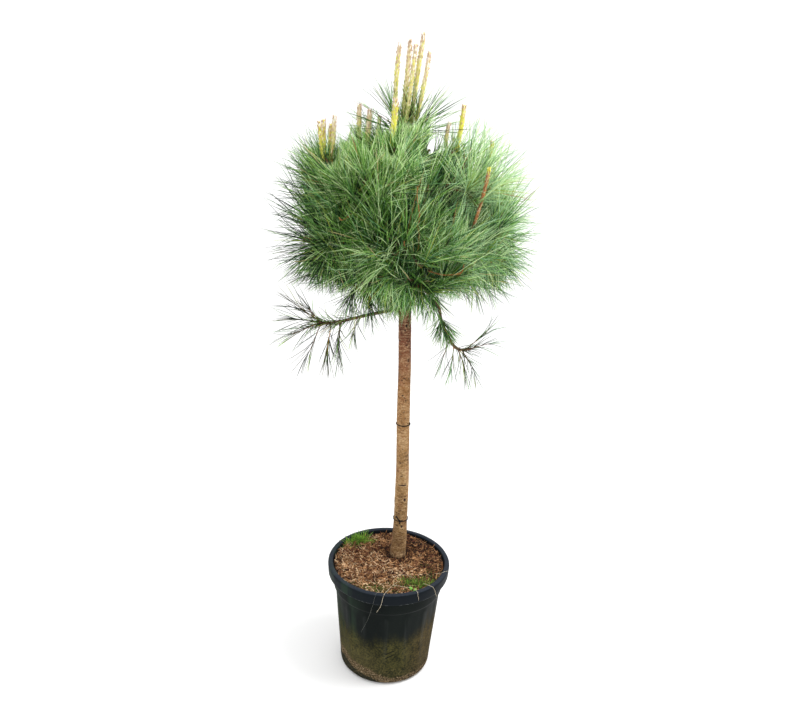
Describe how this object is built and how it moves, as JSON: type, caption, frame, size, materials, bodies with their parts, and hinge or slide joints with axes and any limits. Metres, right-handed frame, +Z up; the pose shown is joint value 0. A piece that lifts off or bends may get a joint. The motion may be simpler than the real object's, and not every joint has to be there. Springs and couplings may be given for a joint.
{
  "type": "italian stone pine in a pot",
  "caption": "Young pine grown as a half standard: round needle crown with upright new shoots on one clear trunk, standing in a ribbed black nursery pot.",
  "frame": {"origin": "centre of the pot's flat underside", "axes": "+Z up along the trunk, -Y towards the viewer of the picture, +X to the viewer's right"},
  "size_m": [0.7611, 0.7232, 1.9662],
  "materials": {
    "pot_plastic": "satin black plastic, dusty and algae-stained low down",
    "potting_mix": "coarse shredded bark and fibre, matt",
    "trunk_bark": "rough bark",
    "bough_bark": "scaly bark",
    "needles": "satin green needles",
    "candle": "matt papery scales",
    "tie_wire": "dull black coated wire",
    "grass": "satin",
    "moss": "matt"
  },
  "bodies": {
    "root": {"bough_left_inner": "bough_bark", "bough_left_outer": "bough_bark", "bough_lower_1": "bough_bark", "bough_lower_2": "bough_bark", "bough_lower_3": "bough_bark", "bough_lower_4": "bough_bark", "bough_middle_1": "bough_bark", "bough_middle_2": "bough_bark", "bough_middle_3": "bough_bark", "bough_middle_4": "bough_bark", "bough_middle_5": "bough_bark", "bough_right_inner": "bough_bark", "bough_right_outer": "bough_bark", "bough_top_1": "bough_bark", "bough_top_2": "bough_bark", "bough_top_3": "bough_bark", "bough_upper_1": "bough_bark", "bough_upper_2": "bough_bark", "bough_upper_3": "bough_bark", "bough_upper_4": "bough_bark", "bough_upper_5": "bough_bark", "candle_front": "candle", "candle_leader_1": "candle", "candle_leader_2": "candle", "candle_leader_3": "candle", "candle_leader_4": "candle", "candle_leader_5": "candle", "candle_left": "candle", "candle_left_inner": "candle", "candle_right": "candle", "candle_right_inner": "candle", "foliage_leader": "needles", "foliage_left_spray": "needles", "foliage_lower_1": "needles", "foliage_lower_2": "needles", "foliage_lower_3": "needles", "foliage_lower_4": "needles", "foliage_middle_1": "needles", "foliage_middle_2": "needles", "foliage_middle_3": "needles", "foliage_middle_4": "needles", "foliage_middle_5": "needles", "foliage_right_spray": "needles", "foliage_top_1": "needles", "foliage_top_2": "needles", "foliage_top_3": "needles", "foliage_upper_1": "needles", "foliage_upper_2": "needles", "foliage_upper_3": "needles", "foliage_upper_4": "needles", "foliage_upper_5": "needles", "grass_tuft": "grass", "moss_patch": "moss", "pot": "pot_plastic", "potting_mix": "potting_mix", "tie_high": "tie_wire", "tie_low": "tie_wire", "trunk": "trunk_bark"}
  },
  "joints": []
}
